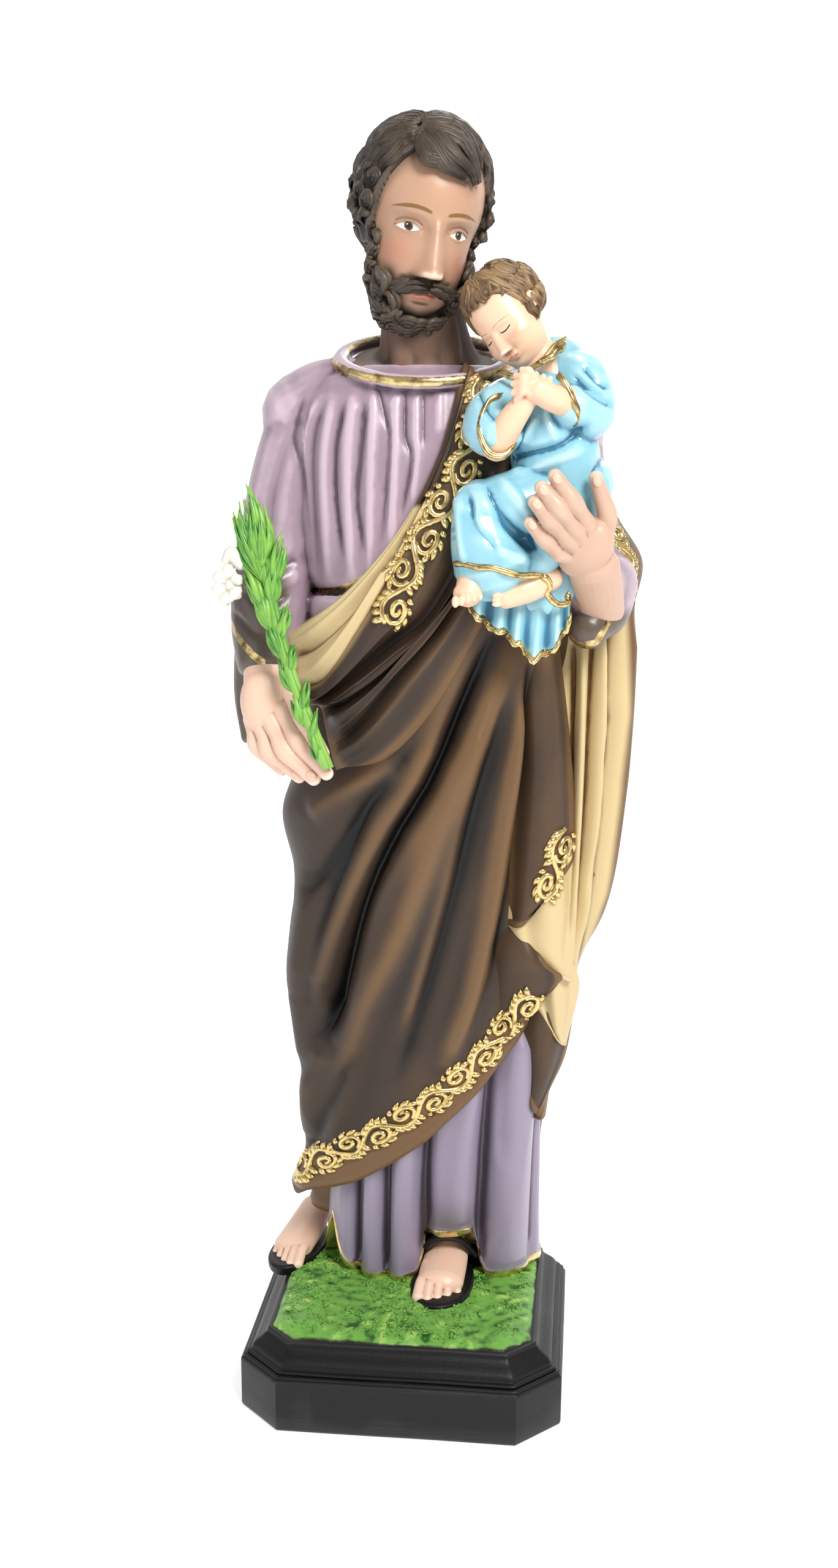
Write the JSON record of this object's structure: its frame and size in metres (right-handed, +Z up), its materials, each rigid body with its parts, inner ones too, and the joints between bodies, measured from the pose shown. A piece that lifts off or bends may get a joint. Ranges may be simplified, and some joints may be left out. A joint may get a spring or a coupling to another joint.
{
  "type": "painted plaster saint statue",
  "caption": "Standing bearded saint in a tunic and wrapped cloak, holding a sleeping child and a lily branch, on a plinth with cut corners.",
  "frame": {"origin": "centre of the plinth's underside", "axes": "+Z up, -Y towards the plinth's front face, +X to the viewer's right"},
  "size_m": [0.1946, 0.15, 0.6116],
  "materials": {
    "painted_plaster": "cast plaster, hand painted and airbrushed, satin varnish",
    "gold_paint": "metallic gold paint on raised borders and hems",
    "skin_paint": "smooth satin flesh paint with an airbrushed blush",
    "hair_paint": "dark brown paint with dry-brushed highlights",
    "plinth_paint": "satin black paint"
  },
  "bodies": {
    "root": {"saint_statue": "painted_plaster"}
  },
  "joints": []
}
